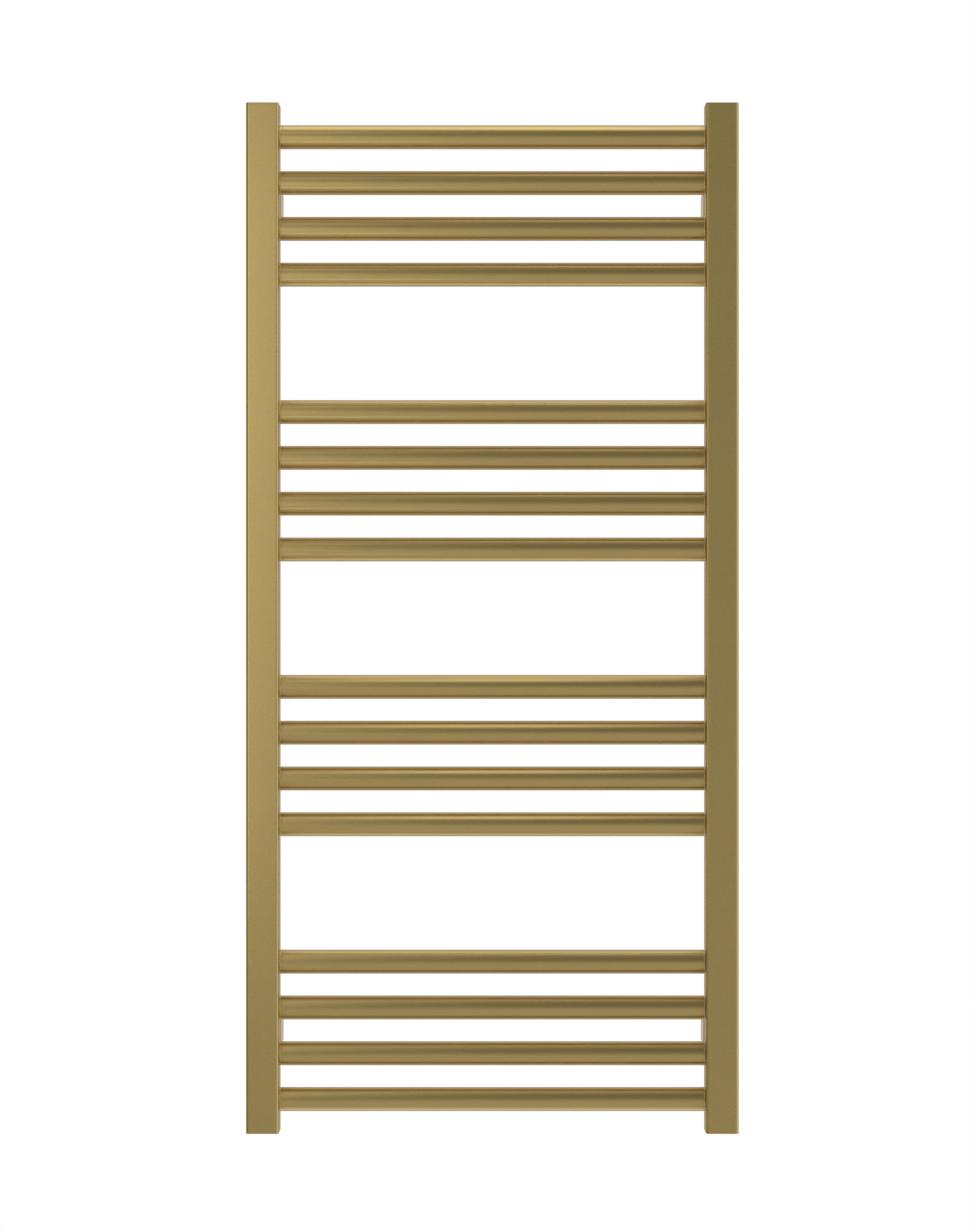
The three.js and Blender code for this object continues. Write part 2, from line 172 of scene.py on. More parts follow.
# How far below the square's end, and how much its corners are turned away there.
SPINDLE_END = ((0.6 * MM, 0.0), (0.2 * MM, 0.4 * MM), (0.0, 0.8 * MM))
SLOT_WIDTH = 1.0 * MM
SLOT_LENGTH = 8.0 * MM
SLOT_DEPTH = 1.4 * MM
WASHER_BORE = 10.5 * MM
WASHER_EDGE_STEPS = 8


# ---- Outlines: N by 2 arrays, counter-clockwise ---------------------------------------------

def rounded_rectangle(width, depth, radius):
    """A rounded rectangle with fine corner arcs and a support point just inside each flat's end."""
    points = []
    corners = ((1, 1), (-1, 1), (-1, -1), (1, -1))
    for index, (sx, sy) in enumerate(corners):
        centre = np.array((sx * (width / 2 - radius), sy * (depth / 2 - radius)))
        for step in range(EDGE_STEPS + 1):
            angle = (index + step / EDGE_STEPS) * math.pi / 2
            points.append(centre + radius * np.array((math.cos(angle), math.sin(angle))))
        start = points[-1]
        next_sx, next_sy = corners[(index + 1) % 4]
        angle = (index + 1) * math.pi / 2
        end = np.array((next_sx * (width / 2 - radius), next_sy * (depth / 2 - radius)))
        end = end + radius * np.array((math.cos(angle), math.sin(angle)))
        length = np.linalg.norm(end - start)
        inner = min(SUPPORT / length, LARGEST_SUPPORT_SHARE)
        for share in np.linspace(inner, 1 - inner, FLAT_STEPS):
            points.append(start + (end - start) * share)
    return np.array(points)


def circle_facing(outline, radius):
    """A circle with a point in the same direction as each point of the outline."""
    angles = np.arctan2(outline[:, 1], outline[:, 0])
    return radius * np.stack((np.cos(angles), np.sin(angles)), axis=1)


def turned_about(radii):
    """One point for each radius, spread evenly about the middle."""
    angles = np.arange(len(radii)) * 2 * math.pi / len(radii)
    return np.stack((radii * np.cos(angles), radii * np.sin(angles)), axis=1)


def circle(radius, count=SMALL_STEPS):
    """A circle as count points."""
    return turned_about(np.full(count, radius))


def polygon(across_flats, sides, count, limit=math.inf):
    """A regular polygon as count points, cut off at the limit radius like a turned chamfer."""
    sector = 2 * math.pi / sides
    angles = np.arange(count) * 2 * math.pi / count
    radii = across_flats / 2 / np.cos((angles + sector / 2) % sector - sector / 2)
    return turned_about(np.minimum(radii, limit))


# ---- Meshes ---------------------------------------------------------------------------------

def ring(axis, outline, position, centre=(0.0, 0.0)):
    """The outline as 3-D points in the plane across the axis at that position."""
    first = outline[:, 0] + centre[0]
    second = outline[:, 1] + centre[1]
    columns = [first, second]
    columns.insert("xyz".index(axis), np.full(len(outline), position))
    return np.stack(columns, axis=1)


def mark_wear(mesh):
    """Stores 1 on the points of convex edges, where handling polishes them, and 0 elsewhere."""
    wearing_angle = math.radians(8)
    work = bmesh.new()
    work.from_mesh(mesh)
    worn = np.zeros(len(work.verts), np.float32)
    for edge in work.edges:
        if len(edge.link_faces) == 2 and edge.calc_face_angle_signed(0.0) > wearing_angle:
            worn[[v.index for v in edge.verts]] = 1.0
    work.free()
    mesh.attributes.new("wear", "FLOAT", "POINT").data.foreach_set("value", worn)


def finish_mesh(piece, crease=35):
    """Smooth shading that keeps large faces flat and edges over the crease angle crisp."""
    large_face_weight = 80
    mesh = piece.data
    mesh.polygons.foreach_set("use_smooth", [True] * len(mesh.polygons))
    mesh.set_sharp_from_angle(angle=math.radians(crease))
    mark_wear(mesh)
    weighted = piece.modifiers.new("weighted_normals", "WEIGHTED_NORMAL")
    weighted.keep_sharp = True
    weighted.weight = large_face_weight
    return piece


def loft(name, rings, cyclic=False):
    """A closed mesh through equal-sized rings. Cyclic joins the last ring to the first."""
    count = len(rings[0])
    total = len(rings)
    faces = []
    for level in range(total if cyclic else total - 1):
        here, there = level * count, (level + 1) % total * count
        for i in range(count):
            j = (i + 1) % count
            faces.append((here + i, here + j, there + j, there + i))
    if not cyclic:
        faces.append(tuple(range(count)))
        faces.append(tuple(range((total - 1) * count, total * count)))
    mesh = bpy.data.meshes.new(name)
    mesh.from_pydata(np.concatenate(rings).tolist(), [], faces)
    work = bmesh.new()
    work.from_mesh(mesh)
    bmesh.ops.recalc_face_normals(work, faces=work.faces)
    work.to_mesh(mesh)
    work.free()
    piece = bpy.data.objects.new(name, mesh)
    bpy.context.scene.collection.objects.link(piece)
    return piece


def rod(axis, radius, start, end, centre, count=SMALL_STEPS):
    """A round rod along the axis, which cut() uses up."""
    return loft("cutter", [
        ring(axis, circle(radius, count), start, centre),
        ring(axis, circle(radius, count), end, centre),
    ])


def cut(piece, cutters):
    """Cuts the cutters out of the piece for good and removes them."""
    for cutter in cutters:
        boolean = piece.modifiers.new("cut", "BOOLEAN")
        boolean.object = cutter
        boolean.operation = "DIFFERENCE"
        boolean.solver = "EXACT"
    graph = bpy.context.evaluated_depsgraph_get()
    mesh = bpy.data.meshes.new_from_object(piece.evaluated_get(graph))
    piece.modifiers.clear()
    piece.data = mesh
    for cutter in cutters:
        bpy.data.objects.remove(cutter)


def put(piece, body, node, material):
    """The piece rides on a body, stands for a CAD node and takes its finish from a slot."""
    piece.data.materials.clear()
    piece.data.materials.append(material)
    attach(piece, body)
    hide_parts(node)


def middle(node):
    """The middle of a node's box."""
    low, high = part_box(node)
    return (low + high) / 2


def centre_across(axis, node):
    """The middle of a node's box as the two coordinates across the axis."""
    low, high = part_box(node)
    return [(a + b) / 2 for name, a, b in zip("xyz", low, high) if name != axis]


def radius_of(node):
    """The radius of a node that is round about Y or Z, at its widest."""
    low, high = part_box(node)
    return (high.x - low.x) / 2


# ---- Materials ------------------------------------------------------------------------------

class Nodes:
    """Short calls for building the node tree of a material or the world."""

    def __init__(self, owner):
        owner.use_nodes = True
        self.owner = owner
        self.tree = owner.node_tree
        self.shader = self.tree.nodes.get("Principled BSDF")

    def add(self, kind, inputs=None, **settings):
        made = self.tree.nodes.new(kind)
        for key, value in settings.items():
            setattr(made, key, value)
        for key, value in (inputs or {}).items():
            self.feed(made.inputs[key], value)
        return made

    def feed(self, socket, value):
        if isinstance(value, bpy.types.NodeSocket):
            self.tree.links.new(value, socket)
        else:
            socket.default_value = value

    def noise(self, vector, scale, detail=3.0, roughness=0.55):
        made = self.add("ShaderNodeTexNoise", {
            "Vector": vector, "Scale": scale, "Detail": detail, "Roughness": roughness})
        return made.outputs["Fac"]

    def math(self, operation, first, second):
        made = self.add("ShaderNodeMath", operation=operation)
        self.feed(made.inputs[0], first)
        self.feed(made.inputs[1], second)
        return made.outputs[0]

    def remap(self, value, low, high, from_low=0.3, from_high=0.7):
        """The value taken from one range to another, by default from a noise's usual spread."""
        made = self.add("ShaderNodeMapRange", {
            "Value": value, "From Min": from_low, "From Max": from_high,
            "To Min": low, "To Max": high})
        return made.outputs["Result"]

    def blend(self, share, first, second):
        made = self.add("ShaderNodeMix", data_type="RGBA")
        self.feed(made.inputs["Factor"], share)
        self.feed(made.inputs[6], first)
        self.feed(made.inputs[7], second)
        return made.outputs[2]

    def stretched(self, vector, axis, along, across):
        """Texture coordinates drawn out along the axis, or as fine every way without one."""
        scale = [across] * 3
        if axis is not None:
            scale["xyz".index(axis)] = along
        made = self.add("ShaderNodeMapping", {"Vector": vector, "Scale": scale})
        return made.outputs["Vector"]


# Texture scales, in cycles to the metre.
LINES_ALONG = 30.0
LINES_ACROSS = 1800.0
SPECKLE = 900.0
CLOUD = 14.0
PITS = 1600.0
DUST = 180.0

SPECK_SHARE = 0.11
SPECK_DARKNESS = 0.72
LEAST_WORN = 0.15
MOST_WORN = 0.5
WEAR_POLISH = 0.05
SMOOTHER = 0.05
ROUGHER = 0.06
GRAIN_BUMP = 0.35
GRAIN_HEIGHT = 0.06 * MM
LACQUER_IOR = 1.7
PIT_BUMP = 0.4
PIT_HEIGHT = 0.05 * MM


def brushed_metal(
        name, colour, tint, bright, roughness, axis, grain=1.0, lacquer=0.0, glancing=(1, 1, 1)):
    """Metal with a speckled grain and polished edges, and fine lines along the axis if it has one.

    Colour and tint mix in clouds and bright shows on worn edges. Glancing is the tint of what it
    reflects at a low angle.
    """
    nodes = Nodes(bpy.data.materials.new(name))
    place = nodes.add("ShaderNodeTexCoord").outputs["Object"]
    drawn = nodes.stretched(place, axis, LINES_ALONG, LINES_ACROSS)
    lines = nodes.noise(drawn, scale=1.0, roughness=0.6)
    speckle = nodes.noise(place, SPECKLE, detail=4.0, roughness=0.7)
    cloud = nodes.noise(place, CLOUD)
    wear = nodes.add("ShaderNodeAttribute", attribute_name="wear").outputs["Fac"]

    toned = nodes.blend(nodes.remap(cloud, 0.0, 1.0), (*colour, 1), (*tint, 1))
    speck = nodes.remap(speckle, 0.0, SPECK_SHARE, from_low=0.35, from_high=0.75)
    speckled = nodes.blend(speck, toned, (*[c * SPECK_DARKNESS for c in colour], 1))
    worn = nodes.math("MULTIPLY", wear, nodes.remap(speckle, LEAST_WORN, MOST_WORN))
    nodes.feed(nodes.shader.inputs["Base Color"], nodes.blend(worn, speckled, (*bright, 1)))

    # Half of the texture is the lines and half is the speckle.
    texture = nodes.math(
        "ADD", nodes.math("MULTIPLY", lines, 0.5), nodes.math("MULTIPLY", speckle, 0.5))
    rough = nodes.remap(texture, roughness - SMOOTHER, roughness + ROUGHER)
    polished = nodes.math("SUBTRACT", rough, nodes.math("MULTIPLY", wear, WEAR_POLISH))
    nodes.feed(nodes.shader.inputs["Roughness"], polished)
    nodes.shader.inputs["Metallic"].default_value = 1.0
    nodes.shader.inputs["Specular Tint"].default_value = (*glancing, 1)
    nodes.shader.inputs["Coat Weight"].default_value = lacquer
    nodes.shader.inputs["Coat Roughness"].default_value = roughness
    nodes.shader.inputs["Coat IOR"].default_value = LACQUER_IOR

    bump = nodes.add("ShaderNodeBump", {
        "Height": texture, "Strength": GRAIN_BUMP * grain, "Distance": GRAIN_HEIGHT})
    nodes.feed(nodes.shader.inputs["Normal"], bump.outputs["Normal"])
    return nodes.owner


def moulded_rubber(name, colour, dusty):
    """Matt black seal rubber with a fine pitted surface."""
    nodes = Nodes(bpy.data.materials.new(name))
    place = nodes.add("ShaderNodeTexCoord").outputs["Object"]
    pits = nodes.noise(place, PITS, detail=4.0)
    cloud = nodes.noise(place, DUST)
    nodes.feed(
        nodes.shader.inputs["Base Color"],
        nodes.blend(nodes.remap(cloud, 0.0, 1.0), (*colour, 1), (*dusty, 1)))
    nodes.feed(nodes.shader.inputs["Roughness"], nodes.remap(pits, low=0.6, high=0.85))
    bump = nodes.add("ShaderNodeBump", {
        "Height": pits, "Strength": PIT_BUMP, "Distance": PIT_HEIGHT})
    nodes.feed(nodes.shader.inputs["Normal"], bump.outputs["Normal"])
    return nodes.owner


BRASS = dict(colour=(0.64, 0.45, 0.125), tint=(0.61, 0.435, 0.13), bright=(0.76, 0.59, 0.25))
TURNED = dict(colour=(0.72, 0.53, 0.22), tint=(0.66, 0.47, 0.18), bright=(0.85, 0.69, 0.38))
ZINC = dict(colour=(0.52, 0.54, 0.56), tint=(0.45, 0.48, 0.53), bright=(0.74, 0.75, 0.76))
BLACK = dict(colour=(0.055, 0.056, 0.06), tint=(0.04, 0.04, 0.045), bright=(0.28, 0.28, 0.29))

brass_along_x = brushed_metal(
    "brushed_brass_along_x", roughness=0.30, axis="x",
    lacquer=1.0, glancing=(0.70, 0.61, 0.55), **BRASS)
brass_along_z = brushed_metal(
    "brushed_brass_along_z", roughness=0.34, axis="z",
    lacquer=0.45, glancing=(0.60, 0.42, 0.15), **BRASS)
brass_along_y = brushed_metal(
    "brushed_brass_along_y", roughness=0.36, axis="y", lacquer=1.0, **BRASS)
turned_brass = brushed_metal("turned_brass", roughness=0.30, axis=None, grain=0.6, **TURNED)
zinc_plate = brushed_metal("zinc_plate", roughness=0.38, axis=None, **ZINC)
black_oxide = brushed_metal("black_oxide", roughness=0.42, axis=None, **BLACK)
seal_rubber = moulded_rubber("seal_rubber", (0.018, 0.018, 0.019), (0.035, 0.034, 0.032))


# ---- The rail -------------------------------------------------------------------------------

def add_collector(side):
    """The upright tube with its wall, and real holes for the bars, bosses and plug."""
    node = f"collector_{side}"
    low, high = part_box(node)
    centre = centre_across("z", node)
    width, depth = high.x - low.x, high.y - low.y
    outer = rounded_rectangle(width, depth, EDGE_RADIUS)
    inner = rounded_rectangle(
        width - 2 * TUBE_WALL, depth - 2 * TUBE_WALL, EDGE_RADIUS - TUBE_WALL)
    tube = loft(node + "_tube", [
        ring("z", outer, low.z, centre), ring("z", outer, high.z, centre),
        ring("z", inner, high.z, centre), ring("z", inner, low.z, centre)], cyclic=True)

    inward = 1 if side == "left" else -1
    inner_face = centre[0] + inward * width / 2
    span = 3 * TUBE_WALL
    cutters = []
    for index in range(1, BAR_COUNT + 1):
        bar = middle(f"bar_{index:02d}")
        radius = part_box(f"bar_{index:02d}")[1].z - bar.z + HOLE_CLEARANCE
        cutters.append(rod("x", radius, inner_face - span, inner_face + span, (bar.y, bar.z)))
    holes = []
    for level in LEVELS:
        boss = f"bracket_boss_{level}_{side}"
        holes.append((radius_of(boss), boss))
    plug = "blanking" if side == "left" else "vent"
    holes.append((INLET_MAJOR_RADIUS, f"{plug}_washer"))
    for radius, part in holes:
        hole = middle(part)
        cutters.append(rod("y", radius, high.y - span, high.y + span, (hole.x, hole.z)))
    cut(tube, cutters)
    put(finish_mesh(tube), "rail", node, brass_along_z)


def cap_rings(low, high, centre, up):
    """Rings of a cap's outer rim, from its flat joint to its rounded-over outer face.

    The outline of the last ring comes with them.
    """
    width, depth = high.x - low.x, high.y - low.y
    joint, face = (low.z, high.z) if up else (high.z, low.z)
    outward = 1 if up else -1
    rings = [ring("z", rounded_rectangle(width, depth, EDGE_RADIUS), joint, centre)]
    for step in range(EDGE_STEPS + 1):
        angle = step / EDGE_STEPS * math.pi / 2
        inset = CAP_EDGE * (1 - math.cos(angle))
        height = face - outward * CAP_EDGE * (1 - math.sin(angle))
        outline = rounded_rectangle(width - 2 * inset, depth - 2 * inset, EDGE_RADIUS - inset)
        rings.append(ring("z", outline, height, centre))
    inset = CAP_EDGE + SUPPORT
    outline = rounded_rectangle(width - 2 * inset, depth - 2 * inset, EDGE_RADIUS - inset)
    rings.append(ring("z", outline, face, centre))
    return rings, outline


def add_end_caps(side):
    """The plain top cap and the bottom cap with its chamfered inlet hole."""
    node = f"end_cap_top_{side}"
    low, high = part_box(node)
    centre = centre_across("z", node)
    rings, _ = cap_rings(low, high, centre, up=True)
    cap = loft(node + "_plate", rings)
    put(finish_mesh(cap), "rail", node, brass_along_z)

    node = f"end_cap_bottom_{side}"
    low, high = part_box(node)
    rings, outline = cap_rings(low, high, centre, up=False)
    for radius, height in (
            (INLET_MAJOR_RADIUS + INLET_CHAMFER + SUPPORT / 2, low.z),
            (INLET_MAJOR_RADIUS + INLET_CHAMFER, low.z),
            (INLET_MAJOR_RADIUS, low.z + INLET_CHAMFER),
            (INLET_MAJOR_RADIUS, high.z)):
        rings.append(ring("z", circle_facing(outline, radius), height, centre))
    cap = loft(node + "_plate", rings, cyclic=True)
    put(finish_mesh(cap), "rail", node, brass_along_z)


def add_inlet_socket(side):
    """The socket welded over the inlet, with its real helical thread."""
    node = f"inlet_socket_{side}"
    low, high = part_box(node)
    centre = centre_across("z", node)
    steps = INLET_STEPS_PER_TURN * round((high.z - low.z) / INLET_PITCH)
    turn = np.arange(ROUND_STEPS) / ROUND_STEPS
    outside = circle(radius_of(node), ROUND_STEPS)
    rings = [ring("z", outside, low.z, centre), ring("z", outside, high.z, centre)]
    # The groove has a flat root and a flat crest, each a quarter of a pitch wide.
    for step in range(steps + 1):
        height = high.z + (low.z - high.z) * step / steps
        phase = (height / INLET_PITCH + turn) % 1.0
        groove = np.clip(1.5 - 4.0 * np.abs(phase - 0.5), 0.0, 1.0)
        fade = min(1.0, min(step, steps - step) / INLET_RUNOUT_STEPS)
        depth = (INLET_MAJOR_RADIUS - INLET_BORE_RADIUS) * groove * fade
        radii = INLET_BORE_RADIUS + depth + (1 - fade) * INLET_RUNOUT_RISE
        rings.append(ring("z", turned_about(radii), height, centre))
    socket = loft(node + "_thread", rings, cyclic=True)
    put(finish_mesh(socket, crease=50), "rail", node, zinc_plate)


def add_bar(index):
    """A round bar whose ends flare into the brazed fillets at the collectors' inner faces."""
    node = f"bar_{index:02d}"
    low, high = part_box(node)
    centre = centre_across("x", node)
    radius = (high.z - low.z) / 2
    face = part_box("collector_right")[0].x

    half = [
        (high.x, radius), (face + BRAZE_SUNK, radius), (face + BRAZE_SUNK, radius + BRAZE_LEG)]
    for step in range(BRAZE_STEPS + 1):
        angle = step / BRAZE_STEPS * math.pi / 2
        half.append((
            face - BRAZE_LEG * (1 - math.cos(angle)),
            radius + BRAZE_LEG * (1 - math.sin(angle))))
    half.append((face - BRAZE_LEG - SUPPORT, radius))
    profile = half + [(-x, r) for x, r in reversed(half)]
    profile += [(low.x, radius - BAR_WALL), (high.x, radius - BAR_WALL)]
    rings = [ring("x", circle(r, ROUND_STEPS), x, centre) for x, r in profile]
    bar = loft(node + "_tube", rings, cyclic=True)
    put(finish_mesh(bar), "rail", node, brass_along_x)


# ---- The brackets ---------------------------------------------------------------------------

def cup_rings(base, mouth, outline, bore, floor, hole, centre, rim, back_edge):
    """Rings of a rectangular cup along Y with a holed floor, closing on themselves at its back."""
    out = 1 if mouth > base else -1

    def section(shape, grow):
        width, height, corner = shape
        return rounded_rectangle(
            width + 2 * grow, height + 2 * grow, max(corner + grow, SMALLEST_CORNER))

    angles = [step / RIM_STEPS * math.pi / 2 for step in range(RIM_STEPS + 1)]
    rings = []
    for angle in angles:
        grow = -back_edge * (1 - math.sin(angle))
        position = base + out * back_edge * (1 - math.cos(angle))
        rings.append(ring("y", section(outline, grow), position, centre))
    for position in (base + out * (back_edge + SUPPORT), mouth - out * (rim + SUPPORT)):
        rings.append(ring("y", section(outline, 0), position, centre))
    for angle in angles:
        grow = -rim * (1 - math.cos(angle))
        position = mouth - out * rim * (1 - math.sin(angle))
        rings.append(ring("y", section(outline, grow), position, centre))
    for grow, position in (
            (CUP_MOUTH_CHAMFER, mouth), (0, mouth - out * CUP_MOUTH_CHAMFER),
            (0, base + out * floor)):
        rings.append(ring("y", section(bore, grow), position, centre))
    last = section(bore, 0)
    for position in (base + out * floor, base):
        rings.append(ring("y", circle_facing(last, hole), position, centre))
    return rings


def add_sleeve(where):
    """The rectangular wall sleeve with its wall screw hole and its set screw hole underneath."""
    node = f"wall_sleeve_{where}"
    low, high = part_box(node)
    width, height = high.x - low.x, high.z - low.z
    outline = (width, height, SLEEVE_EDGE)
    bore = (width - 2 * SLEEVE_SIDE_WALL, height - 2 * SLEEVE_LEVEL_WALL, SLEEVE_EDGE / 2)
    rings = cup_rings(
        high.y, low.y, outline, bore, SLEEVE_FLOOR, WALL_SCREW_HOLE, centre_across("y", node),
        SLEEVE_RIM, SLEEVE_BACK_EDGE)
    sleeve = loft(node + "_cup", rings, cyclic=True)
    cut(sleeve, [rod(
        "z", SET_SCREW_HOLE, low.z + SET_SCREW_HOLE_START, low.z + SET_SCREW_HOLE_END,
        centre_across("z", f"set_screw_{where}"))])
    put(finish_mesh(sleeve), "wall_sleeves", node, brass_along_y)


def add_spigot(where):
    """The zinc-plated spigot that slides in the sleeve."""
    node = f"bracket_spigot_{where}"
    low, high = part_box(node)
    width, height = high.x - low.x, high.z - low.z
    outline = (width, height, SPIGOT_EDGE)
    bore = (width - 2 * SPIGOT_WALL, height - 2 * SPIGOT_WALL, SPIGOT_EDGE / 2)
    rings = cup_rings(
        low.y, high.y, outline, bore, SPIGOT_FLOOR, SCREW_CLEARANCE_HOLE, centre_across("y", node),
        SPIGOT_RIM, SPIGOT_BACK_EDGE)
    spigot = loft(node + "_cup", rings, cyclic=True)
    put(finish_mesh(spigot), "rail", node, zinc_plate)


def screw_rings(axis, head, inward, centre, profile, key, key_depth):
    """Rings of a screw: (position, radius) pairs from tip to head, then a hexagon socket.

    The socket goes in from the head's face, towards +axis for inward 1 and -axis for inward -1.
    """
    rings = [ring(axis, circle(radius), position, centre) for position, radius in profile]
    for across_flats, depth in (
            (key + KEY_CHAMFER_WIDTH, 0), (key, KEY_CHAMFER_DEPTH), (key, key_depth)):
        outline = polygon(across_flats, 6, SMALL_STEPS)
        rings.append(ring(axis, outline, head + inward * depth, centre))
    return rings


def add_spigot_screw(where):
    """The button-head screw that holds the spigot to the boss."""
    node = f"spigot_screw_{where}"
    low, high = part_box(node)
    head_radius = radius_of(node)
    seat = high.y - SPIGOT_SCREW_HEAD_HEIGHT
    profile = [
        (low.y, SPIGOT_SCREW_SHANK - SPIGOT_SCREW_TIP),
        (low.y + SPIGOT_SCREW_TIP, SPIGOT_SCREW_SHANK),
        (seat, SPIGOT_SCREW_SHANK),
        (seat, head_radius - SPIGOT_SCREW_SEAT_CHAMFER),
        (seat + SPIGOT_SCREW_SEAT_CHAMFER, head_radius)]
    crown = (SPIGOT_SCREW_HEAD_HEIGHT - SPIGOT_SCREW_RIM_HEIGHT) / math.sin(CROWN_ANGLE)
    for step in range(1, CROWN_STEPS + 1):
        angle = step / CROWN_STEPS * CROWN_ANGLE
        position = seat + SPIGOT_SCREW_RIM_HEIGHT + crown * math.sin(angle)
        profile.append((position, head_radius * math.cos(angle)))
    rings = screw_rings(
        "y", high.y, -1, centre_across("y", node), profile,
        SPIGOT_SCREW_KEY, SPIGOT_SCREW_KEY_DEPTH)
    screw = loft(node + "_button", rings)
    put(finish_mesh(screw), "rail", node, zinc_plate)


def add_set_screw(where):
    """The black set screw, its socket facing down out of the sleeve."""
    node = f"set_screw_{where}"
    low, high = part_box(node)
    radius = radius_of(node)
    profile = [
        (high.z, radius - SET_SCREW_TIP), (high.z - SET_SCREW_TIP, radius),
        (low.z + SET_SCREW_CHAMFER, radius), (low.z, radius - SET_SCREW_CHAMFER)]
    rings = screw_rings(
        "z", low.z, 1, centre_across("z", node), profile, SET_SCREW_KEY, SET_SCREW_KEY_DEPTH)
    screw = loft(node + "_grub", rings)
    put(finish_mesh(screw), node, node, black_oxide)


# ---- The plugs ------------------------------------------------------------------------------

def plug_head_rings(seat, face, centre):
    """Hexagon head along Y whose corners are turned away to a cone at the outer face."""
    corner = PLUG_ACROSS_FLATS / math.sqrt(3)
    levels = [
        (seat, corner - PLUG_SEAT_INSET), (seat + PLUG_SEAT_RISE, corner - PLUG_SIDE_INSET)]
    for step in range(PLUG_CHAMFER_STEPS + 1):
        share = step / PLUG_CHAMFER_STEPS
        levels.append((face - PLUG_CHAMFER * (1 - share), corner - 2 * PLUG_CHAMFER * share))
    rings = []
    for position, limit in levels:
        rings.append(ring("y", polygon(PLUG_ACROSS_FLATS, 6, ROUND_STEPS, limit), position, centre))
    return rings


def add_plug(name):
    """The hexagon-headed blanking or vent plug behind the top of a collector."""
    node = f"{name}_plug"
    low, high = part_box(node)
    centre = centre_across("y", node)
    face = high.y
    seat = face - PLUG_HEAD_HEIGHT
    rings = [
        ring("y", circle(radius, ROUND_STEPS), position, centre)
        for radius, position in (
            (PLUG_STEM - PLUG_STEM_CHAMFER, low.y),
            (PLUG_STEM, low.y + PLUG_STEM_CHAMFER),
            (PLUG_STEM, seat))]
    rings += plug_head_rings(seat, face, centre)
    if name == "vent":
        for radius, position in (
                (VENT_POCKET + VENT_POCKET_CHAMFER, face),
                (VENT_POCKET, face - VENT_POCKET_CHAMFER),
                (VENT_POCKET, face - VENT_POCKET_DEPTH),
                (VENT_BORE, face - VENT_POCKET_DEPTH),
                (VENT_BORE, low.y)):
            rings.append(ring("y", circle(radius, ROUND_STEPS), position, centre))
        plug = loft(node + "_hexagon", rings, cyclic=True)
        outlet = rod(
            "z", OUTLET_RADIUS, centre[1] - OUTLET_OUTER_END, centre[1] - OUTLET_INNER_END,
            (centre[0], face - OUTLET_DEPTH), OUTLET_STEPS)
        cut(plug, [outlet])
    else:
        for across_flats, position in (
                (PLUG_KEY_MOUTH, face), (PLUG_KEY, face - PLUG_KEY_CHAMFER),
                (PLUG_KEY, face - PLUG_KEY_DEPTH)):
            rings.append(ring("y", polygon(across_flats, 6, ROUND_STEPS), position, centre))
        plug = loft(node + "_hexagon", rings)
    put(finish_mesh(plug, crease=25), "rail", node, turned_brass)


def add_vent_spindle():
    """The bleed spindle: a pointed shank, a seating collar and a slotted square for the key."""
    node = "vent_spindle"
    low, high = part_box(node)
    centre = centre_across("y", node)
    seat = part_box("vent_plug")[1].y - SPINDLE_SEAT_DEPTH
    top = seat + SPINDLE_COLLAR_HEIGHT
    collar_end = SPINDLE_COLLAR - SPINDLE_COLLAR_CHAMFER
    rings = [
        ring("y", circle(radius, ROUND_STEPS), position, centre)
        for radius, position in (
            (SPINDLE_POINT, low.y),
            (SPINDLE_SHANK, low.y + SPINDLE_POINT_LENGTH),
            (SPINDLE_SHANK, seat),
            (collar_end, seat),
            (SPINDLE_COLLAR, seat + SPINDLE_COLLAR_CHAMFER),
            (SPINDLE_COLLAR, top - SPINDLE_COLLAR_CHAMFER),
            (collar_end, top))]
    levels = [(top, SPINDLE_CORNERS)]
    levels += [(high.y - below, SPINDLE_CORNERS - turned) for below, turned in SPINDLE_END]
    for position, limit in levels:
        rings.append(ring("y", polygon(SPINDLE_SQUARE, 4, ROUND_STEPS, limit), position, centre))
    spindle = loft(node + "_square", rings)
    slot_outline = np.array(((1, 1), (-1, 1), (-1, -1), (1, -1))) * (SLOT_LENGTH, SLOT_WIDTH) / 2
    slot = loft("cutter", [
        ring("y", slot_outline, high.y - SLOT_DEPTH, centre),
        ring("y", slot_outline, high.y + SLOT_WIDTH, centre)])
    cut(spindle, [slot])
    put(finish_mesh(spindle, crease=25), "vent_spindle", node, turned_brass)


def add_washer(name):
    """The flat sealing washer under a plug's head, its outer edge rounded."""
    node = f"{name}_washer"
    low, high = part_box(node)
    centre = centre_across("y", node)
    outer = radius_of(node)
    soft = (high.y - low.y) / 2
    rings = [ring("y", circle(WASHER_BORE, ROUND_STEPS), y, centre) for y in (high.y, low.y)]
    for step in range(WASHER_EDGE_STEPS + 1):
        angle = (step / WASHER_EDGE_STEPS - 0.5) * math.pi
        outline = circle(outer - soft * (1 - math.cos(angle)), ROUND_STEPS)
        rings.append(ring("y", outline, low.y + soft * (1 + math.sin(angle)), centre))
    washer = loft(node + "_ring", rings, cyclic=True)
    put(finish_mesh(washer), "rail", node, seal_rubber)


def add_boss(where):
    """The boss welded in the collector's back wall, which takes the spigot's screw."""
    node = f"bracket_boss_{where}"
    low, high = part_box(node)
    centre = centre_across("y", node)
    outer, bore = radius_of(node), SCREW_CLEARANCE_HOLE
    levels = (
        (low.y, outer - BOSS_CHAMFER), (low.y + BOSS_CHAMFER, outer), (high.y, outer),
        (high.y, bore + BOSS_CHAMFER), (high.y - BOSS_CHAMFER, bore),
        (low.y + BOSS_CHAMFER, bore), (low.y, bore + BOSS_CHAMFER))
    rings = [ring("y", circle(radius), position, centre) for position, radius in levels]
    boss = loft(node + "_ring", rings, cyclic=True)
    put(finish_mesh(boss), "rail", node, zinc_plate)


